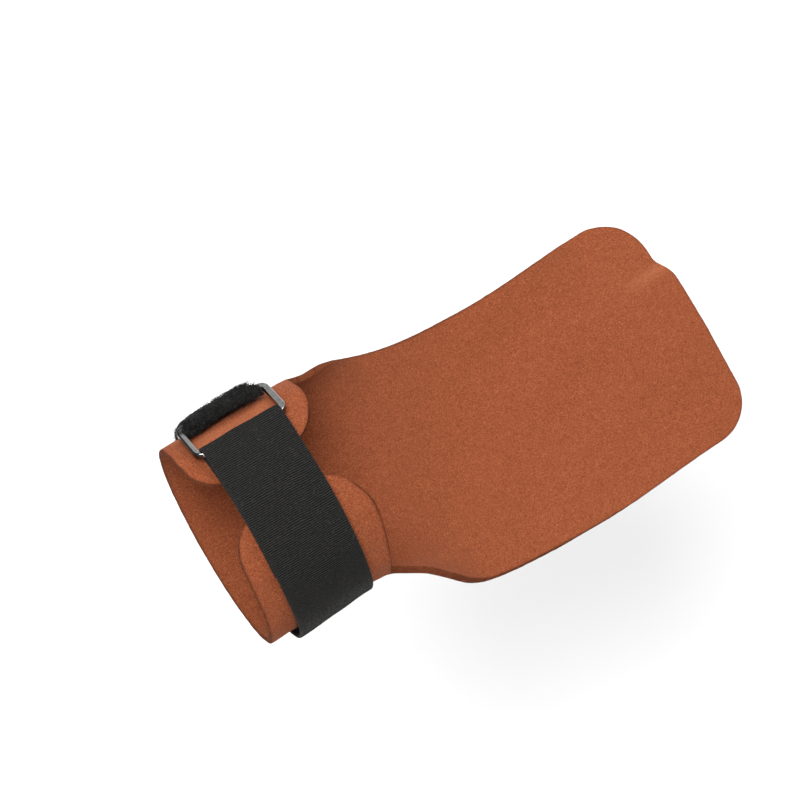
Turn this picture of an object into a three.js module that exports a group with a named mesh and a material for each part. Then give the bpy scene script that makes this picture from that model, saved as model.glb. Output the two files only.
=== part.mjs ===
// Gymnastics hand grip, in its worn form: a one-piece suede leather band and pad, a rectangular metal ring, the loop-pile
// webbing that holds the ring, and the ribbed webbing strap that closes the band over its dorsal side.
//
// Millimetres. The origin is the centre of the band's loop. +X runs along the loop's axis to the end of the pad, +Z is the
// dorsal side, where the band closes, +Y the ulnar side and -Y the radial side.

import * as THREE from 'three';

// ---------------------------------------------------------------- driving dimensions

// the band's loop, outside of the leather
const LOOP_HALF_BREADTH = 31.5;   // along Y
const LOOP_HALF_DEPTH = 24;       // along Z
const LEATHER = 2.2;              // wall

// flat cut of the leather: u runs along X, v round the loop from its palmar middle
const BAND_PROXIMAL = 20.5;       // the band's edges, from its middle line
const BAND_DISTAL = 20.2;         // ulnar side
const BAND_RADIAL_CUT = { depth: 1.0, from: 50, to: 75 };   // the radial side's distal edge is cut back this much near the neck
const TAB_RADIAL = 88.3;          // from the palmar middle to the end of each dorsal tab
const TAB_ULNAR = 72.1;
const TAB_DEPTH = 16.5;           // length over which a tab's end rounds off
const TAB_POWER = 2.5;            // superellipse exponent of that end
const TAB_POWER_CORNER = 3.1;     // fuller on the ulnar tab's proximal side
const NECK_FILLET = 7;            // inside corner between band and pad
const PAD_HALF = 39.8;            // half the pad's width
const PAD_END = 157.2;            // end of the pad, from the middle of the band
const CORNER_RADIAL = 14;         // the pad's end corners
const CORNER_ULNAR = 15;
const END_SWEEP = { from: -8, depth: 0.8 };          // the end edge falls back a little towards the radial corner
const NOTCH = { from: 12, to: 21, depth: 3.2 };      // the end edge steps back towards the ulnar lobe

// the half pipe of the band opens into the nearly flat pad between these two u
const OPEN_FROM = 17;
const OPEN_TO = 52;

// course of the pad from the band to its free end: pitch in degrees, y of its middle line, and the bend across it per mm
const PAD_COURSE = [
  { u: 0, pitch: 0, y: 0, bend: 0.004 },
  { u: 18, pitch: 0, y: 0, bend: 0.004 },
  { u: 24, pitch: -5.4, y: -2.1, bend: 0.0045 },
  { u: 30, pitch: -12, y: -4.1, bend: 0.005 },
  { u: 42, pitch: -19, y: -8.9, bend: 0.007 },
  { u: 56, pitch: -19, y: -12.1, bend: 0.008 },
  { u: 72, pitch: -8, y: -13.6, bend: 0.008 },
  { u: 90, pitch: 5, y: -14.2, bend: 0.006 },
  { u: 108, pitch: 11, y: -13.8, bend: 0.003 },
  { u: 126, pitch: 9, y: -12.3, bend: 0.001 },
  { u: 142, pitch: 5, y: -11.3, bend: 0.0 },
  { u: 160, pitch: 3, y: -10.8, bend: 0.0 },
];

// the ulnar lobe of the pad's end droops past a soft crease
const LOBE = { u0: 112, u1: 160, v0: 6, v1: 16, slope: 0.36, soft: 5 };

// metal ring: a flat bar bent to a rounded rectangle
const RING_WIDTH = 29.6;          // outside, along X
const RING_BAR = 1.8;             // bar width, in the ring's plane
const RING_HEIGHT = 2.0;          // bar height
const RING_CORNER = 2.8;          // outside corner radius
const RING_BEVEL = 0.3;
const RING_X = -1.15;             // middle of the ring along X
const NEAR_BAR = { y: 23.5, z: 19.5 };   // middles of the two long bars
const FAR_BAR = { y: 32.6, z: 10.3 };

// webbing
const GAP = 0.3;                  // clearance between neighbouring pieces
const STRAP = 1.1;                // closing strap
const STRAP_WIDTH = 25.4;
const KEEPER = 1.8;               // ring keeper with its pile
const KEEPER_WIDTH = 24.8;

// The closing strap, by arc length a from the dorsal middle of the loop (ulnar side positive). "off" is the middle of
// the webbing above the leather, "lift" what its proximal edge adds to that, "x" the middle of its width.
const STRAP_UNDER = [
  { a: -15, off: 0.85, lift: 0, x: -1.2 },
  { a: -6, off: 0.85, lift: 0, x: -1.2 },
  { a: 4, off: 0.85, lift: 0, x: -1.2 },
  { a: 13, off: 0.85, lift: 0, x: -1.2 },
  { a: 20.5, off: 0.85, lift: 0, x: -1.2 },
];
const STRAP_OVER = [
  { a: 20, off: 4.0, lift: 0, x: -1.2 },
  { a: 12, off: 2.65, lift: 0, x: -1.3 },
  { a: 0, off: 2.3, lift: 0.15, x: -1.3 },
  { a: -10, off: 2.3, lift: 0.3, x: -1.3 },
  { a: -18, off: 2.1, lift: 0.6, x: -1.2 },
  { a: -26, off: 1.15, lift: 1.3, x: -0.8 },
  { a: -34, off: 0.9, lift: 1.6, x: -0.3 },
  { a: -42, off: 0.9, lift: 1.6, x: 0.0 },
  { a: -50, off: 0.9, lift: 1.3, x: 0.1 },
  { a: -58, off: 0.9, lift: 0.7, x: 0.1 },
  { a: -66, off: 0.9, lift: 0.2, x: 0.1 },
  { a: -73, off: 0.9, lift: 0.0, x: 0.1 },
];
// The ring keeper, the same way.
const KEEPER_INNER = [
  { a: 66, off: 1.35, lift: 0, x: -1.1 },
  { a: 58, off: 1.35, lift: 0, x: -1.1 },
  { a: 50, off: 1.35, lift: 0, x: -1.1 },
  { a: 43, off: 1.35, lift: 0, x: -1.1 },
  { a: 36.5, off: 1.35, lift: 0, x: -1.1 },
];
const KEEPER_OUTER = [
  { a: 37, off: 4.9, lift: 0, x: -1.1 },
  { a: 42, off: 3.7, lift: 0, x: -1.1 },
  { a: 48, off: 3.4, lift: 0, x: -1.1 },
  { a: 54, off: 3.4, lift: 0, x: -1.1 },
  { a: 60, off: 3.4, lift: 0, x: -1.1 },
];

// ---------------------------------------------------------------- small helpers

const lerp = (a, b, t) => a + (b - a) * t;
const clamp01 = (t) => Math.min(1, Math.max(0, t));
const smooth = (t) => { const c = clamp01(t); return c * c * (3 - 2 * c); };
const softplus = (t, soft) => (t > 8 * soft ? t : soft * Math.log1p(Math.exp(t / soft)));

// value of a column of a table at key k, as a smooth curve through its rows
function column(rows, key, name, k) {
  const n = rows.length;
  let i = 0;
  while (i < n - 2 && k > rows[i + 1][key]) i++;
  const r = (j) => rows[Math.min(n - 1, Math.max(0, j))];
  const x0 = r(i)[key], x1 = r(i + 1)[key], h = x1 - x0;
  const slope = (j) => (r(j + 1)[key] === r(j - 1)[key] ? 0 : (r(j + 1)[name] - r(j - 1)[name]) / (r(j + 1)[key] - r(j - 1)[key]));
  const t = clamp01((k - x0) / h), t2 = t * t, t3 = t2 * t;
  return (2 * t3 - 3 * t2 + 1) * r(i)[name] + (t3 - 2 * t2 + t) * h * slope(i)
    + (-2 * t3 + 3 * t2) * r(i + 1)[name] + (t3 - t2) * h * slope(i + 1);
}

function evenly(from, to, size) {
  const n = Math.max(1, Math.round(Math.abs(to - from) / size));
  return Array.from({ length: n + 1 }, (_, i) => lerp(from, to, i / n));
}

// ---------------------------------------------------------------- the loop as an ellipse by arc length

const MID_A = LOOP_HALF_BREADTH - LEATHER / 2;
const MID_B = LOOP_HALF_DEPTH - LEATHER / 2;

// cumulative arc length of the middle ellipse from its palmar middle, over one half
const ARC = (() => {
  const steps = 2000, list = [0];
  let py = 0, pz = -MID_B;
  for (let i = 1; i <= steps; i++) {
    const t = Math.PI * i / steps, y = MID_A * Math.sin(t), z = -MID_B * Math.cos(t);
    list.push(list[i - 1] + Math.hypot(y - py, z - pz));
    py = y; pz = z;
  }
  return { steps, list, half: list[steps] };
})();

function ellipseParameter(arc) {
  let lo = 0, hi = ARC.steps;
  while (hi - lo > 1) {
    const mid = (lo + hi) >> 1;
    if (ARC.list[mid] > arc) hi = mid; else lo = mid;
  }
  return Math.PI * (lo + (arc - ARC.list[lo]) / (ARC.list[hi] - ARC.list[lo])) / ARC.steps;
}

// bend of the middle ellipse per mm, at arc length v from the palmar middle; past the dorsal middle it goes on round
function ellipseBend(v) {
  const arc = Math.abs(v) > ARC.half ? 2 * ARC.half - Math.abs(v) : Math.abs(v);
  const t = ellipseParameter(arc);
  return MID_A * MID_B / Math.pow((MID_A * Math.cos(t)) ** 2 + (MID_B * Math.sin(t)) ** 2, 1.5);
}

// point and outward normal, in the YZ plane, at arc length a from the dorsal middle and height h over the leather's outside
function overLeather(a, h) {
  const t = ellipseParameter(ARC.half - Math.abs(a)), side = Math.sign(a) || 1;
  let ny = MID_B * Math.sin(t), nz = -MID_A * Math.cos(t);
  const n = Math.hypot(ny, nz);
  ny = side * ny / n; nz /= n;
  const rise = LEATHER / 2 + h;
  return { y: side * MID_A * Math.sin(t) + ny * rise, z: -MID_B * Math.cos(t) + nz * rise, ny, nz };
}

// ---------------------------------------------------------------- walls from a net of points

// A closed wall of even thickness on a net: points (Vector3), quads (a, b, c, d) counterclockwise from outside.
function wall(points, quads, thickness) {
  const normals = points.map(() => new THREE.Vector3());
  const e1 = new THREE.Vector3(), e2 = new THREE.Vector3(), n = new THREE.Vector3();
  for (const [a, b, c, d] of quads) {
    e1.subVectors(points[c], points[a]);
    e2.subVectors(points[d], points[b]);
    n.crossVectors(e1, e2).normalize();
    for (const k of [a, b, c, d]) normals[k].add(n);
  }
  normals.forEach((m) => m.normalize());
  const count = points.length, position = [];
  for (const side of [0.5, -0.5]) {
    points.forEach((p, k) => {
      position.push(p.x + normals[k].x * thickness * side, p.y + normals[k].y * thickness * side, p.z + normals[k].z * thickness * side);
    });
  }
  const index = [], edges = new Map();
  const at = (k) => new THREE.Vector3(position[3 * k], position[3 * k + 1], position[3 * k + 2]);
  for (const [a, b, c, d] of quads) {
    // the shorter diagonal keeps the facets fair
    if (at(a).distanceTo(at(c)) <= at(b).distanceTo(at(d))) {
      index.push(a, b, c, a, c, d, count + a, count + c, count + b, count + a, count + d, count + c);
    } else {
      index.push(a, b, d, b, c, d, count + a, count + d, count + b, count + b, count + d, count + c);
    }
    for (const [p, q] of [[a, b], [b, c], [c, d], [d, a]]) {
      const back = `${q} ${p}`;
      if (edges.has(back)) edges.delete(back); else edges.set(`${p} ${q}`, [p, q]);
    }
  }
  for (const [p, q] of edges.values()) {
    index.push(p, count + p, count + q, p, count + q, q);
  }
  const geometry = new THREE.BufferGeometry();
  geometry.setAttribute('position', new THREE.Float32BufferAttribute(position, 3));
  geometry.setIndex(index);
  geometry.computeVertexNormals();
  return geometry;
}

// ---------------------------------------------------------------- leather: flat cut, then its worn form

// how far round the loop the half pipe still holds, from 1 at the band to 0 on the pad
const pipe = (u) => 1 - smooth((u - OPEN_FROM) / (OPEN_TO - OPEN_FROM));

// middle line of the pad in the XZ plane, by its pitch
const COURSE = (() => {
  const step = 0.5, list = [];
  let x = -BAND_PROXIMAL - 2, z = -MID_B;
  for (let u = x; u <= PAD_END + 4; u += step) {
    list.push({ u, x, z });
    const pitch = u < 0 ? 0 : THREE.MathUtils.degToRad(column(PAD_COURSE, 'u', 'pitch', u + step / 2));
    x += step * Math.cos(pitch); z += step * Math.sin(pitch);
  }
  return { step, list };
})();

function courseAt(u) {
  const f = (u - COURSE.list[0].u) / COURSE.step, i = Math.min(COURSE.list.length - 2, Math.max(0, Math.floor(f)));
  const a = COURSE.list[i], b = COURSE.list[i + 1], t = f - i;
  const pitch = u < 0 ? 0 : THREE.MathUtils.degToRad(column(PAD_COURSE, 'u', 'pitch', u));
  return { x: lerp(a.x, b.x, t), z: lerp(a.z, b.z, t), y: u < 0 ? 0 : column(PAD_COURSE, 'u', 'y', u), pitch };
}

// cross section at u: sideways and upward place at v, by walking round it from the middle line
function sectionPoint(u, v) {
  const hold = pipe(u), own = u < 0 ? 0 : column(PAD_COURSE, 'u', 'bend', u);
  const steps = Math.max(1, Math.ceil(Math.abs(v) / 0.8)), dv = Math.abs(v) / steps;
  let turn = 0, side = 0, up = 0;
  for (let i = 0; i < steps; i++) {
    const bend = hold * ellipseBend((i + 0.5) * dv) + (1 - hold) * own;
    side += dv * Math.cos(turn + bend * dv / 2);
    up += dv * Math.sin(turn + bend * dv / 2);
    turn += bend * dv;
  }
  return { side: Math.sign(v) * side, up };
}

function leatherPoint(u, v) {
  const c = courseAt(u), s = sectionPoint(u, v);
  // the lobe droops beyond its crease, more towards the free end
  const crease = lerp(LOBE.v0, LOBE.v1, clamp01((u - LOBE.u0) / (LOBE.u1 - LOBE.u0)));
  const droop = LOBE.slope * softplus(v - crease, LOBE.soft) * smooth((u - LOBE.u0) / (PAD_END - LOBE.u0 - 18));
  const up = s.up - droop;
  return new THREE.Vector3(c.x - up * Math.sin(c.pitch), c.y + s.side, c.z + up * Math.cos(c.pitch));
}

// distal edge of the band at v
const bandDistal = (v) => BAND_DISTAL - (v < 0 ? BAND_RADIAL_CUT.depth * (1 - 0.8 * smooth((-v - BAND_RADIAL_CUT.from) / (BAND_RADIAL_CUT.to - BAND_RADIAL_CUT.from))) : 0);

// half width of a dorsal tab, as a share of the band, at distance d short of its end
const tabShare = (d, power) => (d >= TAB_DEPTH ? 1 : Math.pow(1 - Math.pow(1 - d / TAB_DEPTH, power), 1 / power));

// end of the pad at v
function padEnd(v) {
  const step = NOTCH.depth * smooth((v - NOTCH.from) / (NOTCH.to - NOTCH.from));
  const radius = v < 0 ? CORNER_RADIAL : CORNER_ULNAR;
  const into = Math.max(0, Math.abs(v) - (PAD_HALF - radius));
  const sweep = END_SWEEP.depth * Math.pow(Math.max(0, END_SWEEP.from - v) / (PAD_HALF + END_SWEEP.from), 1.6);
  return PAD_END - step - sweep - (radius - Math.sqrt(Math.max(0, radius * radius - into * into)));
}

const CORNER_STEPS = 5;       // facets of each rounded corner
const MESH = 4.3;             // size of the net's cells

function leatherBody() {
  const corner = (radius, sign) => Array.from({ length: CORNER_STEPS }, (_, i) =>
    sign * (PAD_HALF - radius * (1 - Math.sin((i + 1) / CORNER_STEPS * Math.PI / 2))));
  // the pad's lines across, shared with the band where they meet
  const padV = [
    ...corner(CORNER_RADIAL, -1).reverse(),
    ...evenly(-(PAD_HALF - CORNER_RADIAL), PAD_HALF - CORNER_ULNAR, MESH),
    ...corner(CORNER_ULNAR, 1),
  ];
  const start = BAND_DISTAL + NECK_FILLET;
  const tabShares = [0.3, 0.55, 0.74, 0.87, 0.95, 0.987, 0.9994];
  const side = (sign, end) => {
    const row = (v, share, low = share) => ({ v: sign * v, low: -BAND_PROXIMAL * low, high: bandDistal(sign * v) * share });
    return [
      ...Array.from({ length: CORNER_STEPS }, (_, i) => {
        const f = (i + 1) / CORNER_STEPS * Math.PI / 2, v = PAD_HALF + NECK_FILLET * (1 - Math.cos(f));
        return { ...row(v, 1), high: lerp(start, bandDistal(sign * v), Math.sin(f)) };
      }),
      ...evenly(PAD_HALF + NECK_FILLET, end - TAB_DEPTH, MESH).slice(1).map((v) => row(v, 1)),
      ...tabShares.map((t) => row(end - TAB_DEPTH * (1 - t), tabShare(TAB_DEPTH * (1 - t), TAB_POWER),
        tabShare(TAB_DEPTH * (1 - t), sign > 0 ? TAB_POWER_CORNER : TAB_POWER))),
    ];
  };
  const bandRows = [
    ...side(-1, TAB_RADIAL).reverse(),
    ...padV.map((v) => ({ v, low: -BAND_PROXIMAL, high: start })),
    ...side(1, TAB_ULNAR),
  ];
  const points = [], quads = [], across = 11;
  const bandIndex = bandRows.map((row) => Array.from({ length: across + 1 }, (_, j) => {
    points.push(leatherPoint(lerp(row.low, row.high, j / across), row.v));
    return points.length - 1;
  }));
  for (let i = 0; i + 1 < bandRows.length; i++) {
    for (let j = 0; j < across; j++) {
      quads.push([bandIndex[i][j], bandIndex[i + 1][j], bandIndex[i + 1][j + 1], bandIndex[i][j + 1]]);
    }
  }
  // the pad goes on from the band's distal line
  const first = bandRows.findIndex((r) => r.v === padV[0]);
  const rows = Math.round((PAD_END - start) / MESH);
  let previous = padV.map((_, i) => bandIndex[first + i][across]);
  for (let k = 1; k <= rows; k++) {
    const line = padV.map((v) => {
      points.push(leatherPoint(lerp(start, padEnd(v), k / rows), v));
      return points.length - 1;
    });
    for (let i = 0; i + 1 < padV.length; i++) quads.push([previous[i], previous[i + 1], line[i + 1], line[i]]);
    previous = line;
  }
  // seen from outside (palmar side) the net runs the other way round
  return wall(points, quads.map(([a, b, c, d]) => [a, d, c, b]), LEATHER);
}

// ---------------------------------------------------------------- webbing

// Middle line of a strap that lies on the leather, folds over a bar and comes back: rows of {x, y, z, ny, nz, lift},
// where n is the left-hand normal of the course.
function foldedCourse(first, bar, radius, second, step) {
  const onTable = (rows) => {
    const at = rows.map((r, j) => ({ ...r, j })), count = Math.round(Math.abs(rows[rows.length - 1].a - rows[0].a) / 3);
    return Array.from({ length: count + 1 }, (_, i) => {
      const k = i / count * (rows.length - 1);
      const row = Object.fromEntries(['a', 'off', 'lift', 'x'].map((name) => [name, column(at, 'j', name, k)]));
      return { ...overLeather(row.a, row.off), lift: row.lift, x: row.x };
    });
  };
  const one = onTable(first), two = onTable(second), sense = Math.sign(first[first.length - 1].a - first[0].a);
  // foot of the bar on the leather, and the normal there
  let foot = null;
  for (let a = -80; a <= 80; a += 0.05) {
    const p = overLeather(a, 0), away = Math.hypot(p.y - bar.y, p.z - bar.z);
    if (!foot || away < foot.away) foot = { ...p, away };
  }
  // half a turn about the bar, from its leather side to its outer side
  const turns = 10, fold = Array.from({ length: turns + 1 }, (_, i) => {
    const f = Math.PI * i / turns, n = -Math.cos(f) * radius, t = Math.sin(f) * radius * sense;
    return {
      y: bar.y + foot.ny * n + foot.nz * t, z: bar.z + foot.nz * n - foot.ny * t,
      lift: 0, x: lerp(first[first.length - 1].x, second[0].x, i / turns),
    };
  });
  const rough = [...one, ...fold, ...two];
  // one smooth line through all of it, with short steps about the bar
  const curve = new THREE.CatmullRomCurve3(rough.map((p) => new THREE.Vector3(p.x, p.y, p.z)), false, 'centripetal');
  const lifts = rough.map((p, i) => ({ i, lift: p.lift }));
  curve.arcLengthDivisions = 1500;
  const length = curve.getLength(), lengths = curve.getLengths(1500);
  const arcAt = (index) => lengths[Math.round(index / (rough.length - 1) * 1500)];
  const foldFrom = arcAt(one.length) - 1, foldTo = arcAt(one.length + turns) + 1;
  const stops = [
    ...evenly(0, foldFrom, step).slice(0, -1), ...evenly(foldFrom, foldTo, step / 3.2).slice(0, -1), ...evenly(foldTo, length, step),
  ];
  const rows = stops.map((s) => {
    const t = curve.getUtoTmapping(s / length), p = curve.getPoint(t), d = curve.getTangent(t), n = Math.hypot(d.y, d.z);
    return { x: p.x, y: p.y, z: p.z, ny: -d.z / n, nz: d.y / n, lift: column(lifts, 'i', 'lift', t * (rough.length - 1)) };
  });
  return { rows, length };
}

// outside: which side of the course its lifted layer faces
function webbing(course, width, thickness, columns, outside) {
  const points = [], quads = [];
  const index = course.rows.map((r) => Array.from({ length: columns + 1 }, (_, j) => {
    const s = j / columns, up = r.lift * (1 - smooth(s)) * outside;
    points.push(new THREE.Vector3(r.x + (s - 0.5) * width, r.y + r.ny * up, r.z + r.nz * up));
    return points.length - 1;
  }));
  for (let i = 0; i + 1 < index.length; i++) {
    for (let j = 0; j < columns; j++) quads.push([index[i][j], index[i][j + 1], index[i + 1][j + 1], index[i + 1][j]]);
  }
  return wall(points, quads, thickness);
}

// ---------------------------------------------------------------- ring

function ring() {
  const depth = Math.hypot(FAR_BAR.y - NEAR_BAR.y, FAR_BAR.z - NEAR_BAR.z) + RING_BAR;
  const outline = (shape, w, d, r) => {
    shape.moveTo(-w / 2 + r, -d / 2);
    shape.lineTo(w / 2 - r, -d / 2);
    shape.absarc(w / 2 - r, -d / 2 + r, r, -Math.PI / 2, 0, false);
    shape.lineTo(w / 2, d / 2 - r);
    shape.absarc(w / 2 - r, d / 2 - r, r, 0, Math.PI / 2, false);
    shape.lineTo(-w / 2 + r, d / 2);
    shape.absarc(-w / 2 + r, d / 2 - r, r, Math.PI / 2, Math.PI, false);
    shape.lineTo(-w / 2, -d / 2 + r);
    shape.absarc(-w / 2 + r, -d / 2 + r, r, Math.PI, Math.PI * 1.5, false);
    return shape;
  };
  const b = RING_BEVEL;
  const shape = outline(new THREE.Shape(), RING_WIDTH - 2 * b, depth - 2 * b, RING_CORNER - b);
  shape.holes.push(outline(new THREE.Path(), RING_WIDTH - 2 * RING_BAR + 2 * b, depth - 2 * RING_BAR + 2 * b, RING_CORNER - RING_BAR + b));
  const geometry = new THREE.ExtrudeGeometry(shape, {
    depth: RING_HEIGHT - 2 * b, bevelEnabled: true, bevelThickness: b, bevelSize: b, bevelSegments: 1, curveSegments: 5,
  });
  geometry.translate(0, 0, -(RING_HEIGHT - 2 * b) / 2);
  return geometry;
}

// ---------------------------------------------------------------- the assembly

const suede = new THREE.MeshStandardMaterial({ color: 0xa85a35, roughness: 0.95, metalness: 0, side: THREE.DoubleSide });
const gunmetal = new THREE.MeshStandardMaterial({ color: 0x6f706d, roughness: 0.3, metalness: 1 });
const pile = new THREE.MeshStandardMaterial({ color: 0x1d1d1e, roughness: 1, metalness: 0 });
const ribbed = new THREE.MeshStandardMaterial({ color: 0x2c2d2c, roughness: 0.8, metalness: 0 });

const grip = new THREE.Group();

const leather = new THREE.Mesh(leatherBody(), suede);
leather.name = 'leather_body';
grip.add(leather);

const ringMesh = new THREE.Mesh(ring(), gunmetal);
ringMesh.name = 'ring';
ringMesh.position.set(RING_X, (NEAR_BAR.y + FAR_BAR.y) / 2, (NEAR_BAR.z + FAR_BAR.z) / 2);
ringMesh.rotation.x = Math.atan2(FAR_BAR.z - NEAR_BAR.z, FAR_BAR.y - NEAR_BAR.y);
grip.add(ringMesh);

const strapCourse = foldedCourse(STRAP_UNDER, NEAR_BAR, RING_HEIGHT / 2 + 0.4 + STRAP / 2, STRAP_OVER, 2.6);
const strap = new THREE.Mesh(webbing(strapCourse, STRAP_WIDTH, STRAP, 3, -1), ribbed);
strap.name = 'closing_strap';
grip.add(strap);

const keeperCourse = foldedCourse(KEEPER_INNER, FAR_BAR, RING_HEIGHT / 2 + 0.45 + KEEPER / 2, KEEPER_OUTER, 2.6);
const keeper = new THREE.Mesh(webbing(keeperCourse, KEEPER_WIDTH, KEEPER, 2, 1), pile);
keeper.name = 'ring_keeper';
grip.add(keeper);

export default grip;
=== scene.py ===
import math

import bpy
import numpy as np
from mathutils import Matrix
from mathutils.geometry import delaunay_2d_cdt


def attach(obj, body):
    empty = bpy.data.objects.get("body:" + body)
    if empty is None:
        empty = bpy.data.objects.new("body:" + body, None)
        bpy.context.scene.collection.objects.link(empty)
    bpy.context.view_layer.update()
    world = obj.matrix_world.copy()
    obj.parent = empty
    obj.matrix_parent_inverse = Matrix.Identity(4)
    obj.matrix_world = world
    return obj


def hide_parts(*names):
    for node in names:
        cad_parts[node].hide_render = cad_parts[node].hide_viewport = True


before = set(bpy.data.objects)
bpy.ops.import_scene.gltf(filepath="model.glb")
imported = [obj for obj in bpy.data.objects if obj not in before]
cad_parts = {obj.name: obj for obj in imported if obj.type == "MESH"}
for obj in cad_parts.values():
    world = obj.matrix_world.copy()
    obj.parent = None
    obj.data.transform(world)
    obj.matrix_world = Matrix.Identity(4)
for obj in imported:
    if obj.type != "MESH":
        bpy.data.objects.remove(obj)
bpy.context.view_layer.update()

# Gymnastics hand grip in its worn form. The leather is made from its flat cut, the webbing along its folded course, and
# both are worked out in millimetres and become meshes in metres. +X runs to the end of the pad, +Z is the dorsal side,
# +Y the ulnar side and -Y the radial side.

MM = 0.001

# ---------------------------------------------------------------- sizes, as in the construction

LOOP_HALF_BREADTH = 31.5
LOOP_HALF_DEPTH = 24.0
LEATHER = 2.2
BAND_PROXIMAL = 20.5
BAND_DISTAL = 20.2
BAND_RADIAL_CUT = dict(depth=1.0, start=50.0, end=75.0)
TAB_RADIAL = 88.3
TAB_ULNAR = 72.1
TAB_DEPTH = 16.5
TAB_POWER = 2.5
TAB_POWER_CORNER = 3.1
NECK_FILLET = 7.0
PAD_HALF = 39.8
PAD_END = 157.2
CORNER_RADIAL = 14.0
CORNER_ULNAR = 15.0
END_SWEEP = dict(start=-8.0, depth=0.8)
NOTCH = dict(start=12.0, end=21.0, depth=3.2)
OPEN_FROM = 17.0
OPEN_TO = 52.0

# course of the pad: u, pitch in degrees, y of its middle line, bend across it per mm
PAD_COURSE = np.array([
    (0, 0, 0, 0.004), (18, 0, 0, 0.004), (24, -5.4, -2.1, 0.0045), (30, -12, -4.1, 0.005), (42, -19, -8.9, 0.007),
    (56, -19, -12.1, 0.008), (72, -8, -13.6, 0.008), (90, 5, -14.2, 0.006), (108, 11, -13.8, 0.003), (126, 9, -12.3, 0.001), (142, 5, -11.3, 0.0),
    (160, 3, -10.8, 0.0),
], float)
LOBE = dict(u0=112.0, u1=160.0, v0=6.0, v1=16.0, slope=0.36, soft=5.0)

RING_WIDTH = 29.6
RING_BAR = 1.8
RING_HEIGHT = 2.0
RING_CORNER = 2.8
RING_X = -1.15
NEAR_BAR = (23.5, 19.5)
FAR_BAR = (32.6, 10.3)

STRAP = 1.1
STRAP_WIDTH = 25.4
KEEPER = 1.8
KEEPER_WIDTH = 24.8

# courses of the webbing: arc from the dorsal middle, height of the middle over the leather, lift of the proximal edge, x
STRAP_UNDER = np.array([
    (-15, 0.85, 0, -1.2), (-6, 0.85, 0, -1.2), (4, 0.85, 0, -1.2), (13, 0.85, 0, -1.2), (20.5, 0.85, 0, -1.2),
], float)
STRAP_OVER = np.array([
    (20, 4.0, 0, -1.2), (12, 2.65, 0, -1.3), (0, 2.3, 0.15, -1.3), (-10, 2.3, 0.3, -1.3), (-18, 2.1, 0.6, -1.2),
    (-26, 1.15, 1.3, -0.8), (-34, 0.9, 1.6, -0.3), (-42, 0.9, 1.6, 0.0), (-50, 0.9, 1.3, 0.1), (-58, 0.9, 0.7, 0.1),
    (-66, 0.9, 0.2, 0.1), (-73, 0.9, 0.0, 0.1),
], float)
KEEPER_INNER = np.array([
    (66, 1.35, 0, -1.1), (58, 1.35, 0, -1.1), (50, 1.35, 0, -1.1), (43, 1.35, 0, -1.1), (36.5, 1.35, 0, -1.1),
], float)
KEEPER_OUTER = np.array([
    (37, 4.9, 0, -1.1), (42, 3.7, 0, -1.1), (48, 3.4, 0, -1.1), (54, 3.4, 0, -1.1), (60, 3.4, 0, -1.1),
], float)

# finish
CELL = 0.95            # size of the leather's cells
RIB_PITCH = 0.61       # ribs of the closing strap, along its course
RIB_STEPS = 5
LOOPS = 5600           # loops in each half of the pile
STRAYS = 760           # longer loose hairs on the pile

# ---------------------------------------------------------------- helpers


def smooth(t):
    c = np.clip(t, 0.0, 1.0)
    return c * c * (3 - 2 * c)


def softplus(t, soft):
    return soft * np.logaddexp(0.0, np.asarray(t, float) / soft)


def through(keys, values, at):
    """A smooth curve through the rows of a table, by central slopes."""
    keys, values, at = (np.asarray(a, float) for a in (keys, values, at))
    n = len(keys)
    i = np.clip(np.searchsorted(keys, at, side="left") - 1, 0, n - 2)
    before, after = np.maximum(np.arange(n) - 1, 0), np.minimum(np.arange(n) + 1, n - 1)
    slope = (values[after] - values[before]) / (keys[after] - keys[before])
    h = keys[i + 1] - keys[i]
    t = np.clip((at - keys[i]) / h, 0, 1)
    return ((2 * t**3 - 3 * t**2 + 1) * values[i] + (t**3 - 2 * t**2 + t) * h * slope[i]
            + (-2 * t**3 + 3 * t**2) * values[i + 1] + (t**3 - t**2) * h * slope[i + 1])


def unit(a):
    return a / np.maximum(np.linalg.norm(a, axis=-1, keepdims=True), 1e-12)


def waves(seed, length, dims=2, count=16):
    """A smooth random field of about that wavelength, with a spread near 1."""
    r = np.random.default_rng(seed)
    k = unit(r.normal(size=(count, dims))) * (2 * math.pi / length * r.uniform(0.55, 1.5, (count, 1)))
    phase = r.uniform(0, 2 * math.pi, count)
    return lambda *c: np.sin(np.stack(c, -1) @ k.T + phase).sum(-1) / math.sqrt(count / 2)


def mesh_object(name, points, faces, materials, face_material=None, smooth_faces=True, values=None, flat=None):
    """A mesh in metres from points in millimetres. values are numbers kept at its points, flat its own flat coordinates."""
    mesh = bpy.data.meshes.new(name)
    points = np.asarray(points, float)
    mesh.from_pydata((points * MM).tolist(), [], [list(map(int, f)) for f in faces])
    for m in materials:
        mesh.materials.append(m)
    if face_material is not None:
        mesh.polygons.foreach_set("material_index", np.asarray(face_material, np.int32))
    mesh.polygons.foreach_set("use_smooth", np.full(len(mesh.polygons), bool(smooth_faces)))
    for key, value in (values or {}).items():
        mesh.attributes.new(key, "FLOAT", "POINT").data.foreach_set("value", np.asarray(value, np.float32))
    if flat is not None:
        layer = mesh.uv_layers.new(name="flat")
        index = np.zeros(len(mesh.loops), np.int32)
        mesh.loops.foreach_get("vertex_index", index)
        layer.data.foreach_set("uv", np.asarray(flat, np.float32)[index].ravel())
    mesh.update()
    if mesh.validate():
        raise SystemExit(f"{name} has bad faces")
    obj = bpy.data.objects.new(name, mesh)
    bpy.context.scene.collection.objects.link(obj)
    return obj


# ---------------------------------------------------------------- the loop as an ellipse by arc length

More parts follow.
